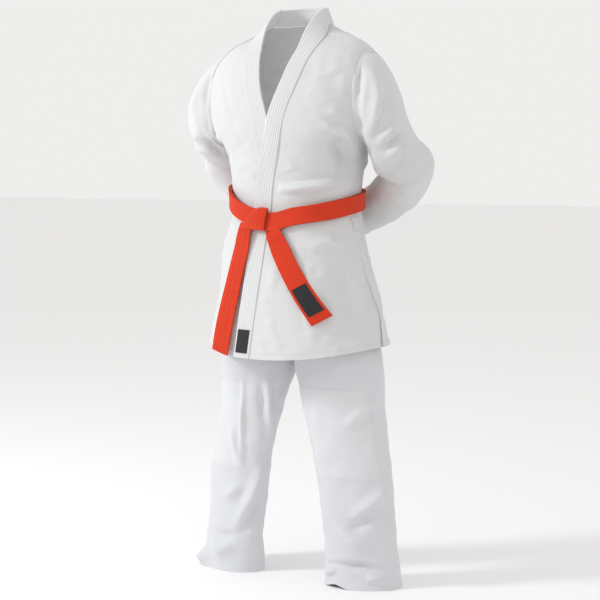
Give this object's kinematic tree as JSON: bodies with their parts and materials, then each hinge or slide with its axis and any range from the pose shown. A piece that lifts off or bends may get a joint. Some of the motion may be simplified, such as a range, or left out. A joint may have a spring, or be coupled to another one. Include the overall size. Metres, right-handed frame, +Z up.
{
  "type": "judo uniform",
  "caption": "Judo uniform standing as worn: heavy woven cotton jacket wrapped left over right, tied belt, straight trousers with knee patches.",
  "frame": {"origin": "on the floor, in the middle of the whole uniform's width and depth", "axes": "+Z up, the front faces -Y, the wearer's left side is +X"},
  "size_m": [0.6484, 0.4394, 1.4106],
  "materials": {
    "woven_jacket_cotton": "heavy raised weave, matte",
    "quilted_band_cotton": "quilted with parallel stitching, matte",
    "trouser_twill": "smooth light twill, matte",
    "belt_cotton": "quilted with parallel stitching, matte",
    "blank_label": "smooth woven label, blank"
  },
  "bodies": {
    "uniform": {"jacket_back_panel": "woven_jacket_cotton", "jacket_front_left_panel": "woven_jacket_cotton", "jacket_front_right_panel": "woven_jacket_cotton", "shoulder_reinforcement_left": "woven_jacket_cotton", "shoulder_reinforcement_right": "woven_jacket_cotton", "vent_reinforcement_left": "woven_jacket_cotton", "vent_reinforcement_right": "woven_jacket_cotton", "collar_band_neck": "quilted_band_cotton", "lapel_band_left_upper": "quilted_band_cotton", "lapel_band_right_upper": "quilted_band_cotton", "trouser_left_front_panel": "trouser_twill", "trouser_right_front_panel": "trouser_twill", "trouser_left_back_panel": "trouser_twill", "trouser_right_back_panel": "trouser_twill", "knee_patch_left": "trouser_twill", "knee_patch_right": "trouser_twill", "trouser_hem_left": "trouser_twill", "trouser_hem_right": "trouser_twill", "trouser_waistband": "trouser_twill", "drawstring_loop_left": "trouser_twill", "drawstring_loop_right": "trouser_twill", "belt_wrap_inner": "belt_cotton", "belt_wrap_outer": "belt_cotton", "belt_knot": "belt_cotton"},
    "left_sleeve": {"sleeve_left": "woven_jacket_cotton", "cuff_band_left": "woven_jacket_cotton", "underarm_gusset_left": "woven_jacket_cotton"},
    "right_sleeve": {"sleeve_right": "woven_jacket_cotton", "cuff_band_right": "woven_jacket_cotton", "underarm_gusset_right": "woven_jacket_cotton"},
    "front_skirt": {"skirt_front_left": "woven_jacket_cotton", "skirt_front_right": "woven_jacket_cotton", "lapel_band_left_skirt": "quilted_band_cotton", "lapel_band_right_skirt": "quilted_band_cotton", "lapel_label": "blank_label"},
    "back_skirt": {"skirt_back": "woven_jacket_cotton"},
    "left_belt_end": {"belt_end_left": "belt_cotton", "belt_end_label": "blank_label"},
    "right_belt_end": {"belt_end_right": "belt_cotton"}
  },
  "joints": [
    {"name": "left_sleeve_lift", "type": "hinge", "parent": "uniform", "child": "left_sleeve", "pos_m": [0.1999, -0.0361, 1.2985], "axis": [0, -1, 0], "range_deg": [0, 35]},
    {"name": "right_sleeve_lift", "type": "hinge", "parent": "uniform", "child": "right_sleeve", "pos_m": [-0.1973, -0.0361, 1.2985], "axis": [0, 1, 0], "range_deg": [0, 35]},
    {"name": "front_skirt_swing", "type": "hinge", "parent": "uniform", "child": "front_skirt", "pos_m": [0, -0.184, 0.866], "axis": [-1, 0, 0], "range_deg": [0, 20], "stiffness_Nm_per_rad": 1, "springref_deg": -8.59},
    {"name": "back_skirt_swing", "type": "hinge", "parent": "uniform", "child": "back_skirt", "pos_m": [0, 0.098, 0.866], "axis": [1, 0, 0], "range_deg": [0, 20], "stiffness_Nm_per_rad": 1, "springref_deg": -8.59},
    {"name": "left_belt_end_lift", "type": "hinge", "parent": "front_skirt", "child": "left_belt_end", "pos_m": [0.0233, -0.186, 0.8655], "axis": [-0.95, -0.3122, 0], "range_deg": [0, 50]},
    {"name": "right_belt_end_lift", "type": "hinge", "parent": "front_skirt", "child": "right_belt_end", "pos_m": [-0.0297, -0.186, 0.8665], "axis": [-0.954, 0.2998, 0], "range_deg": [0, 50]}
  ]
}
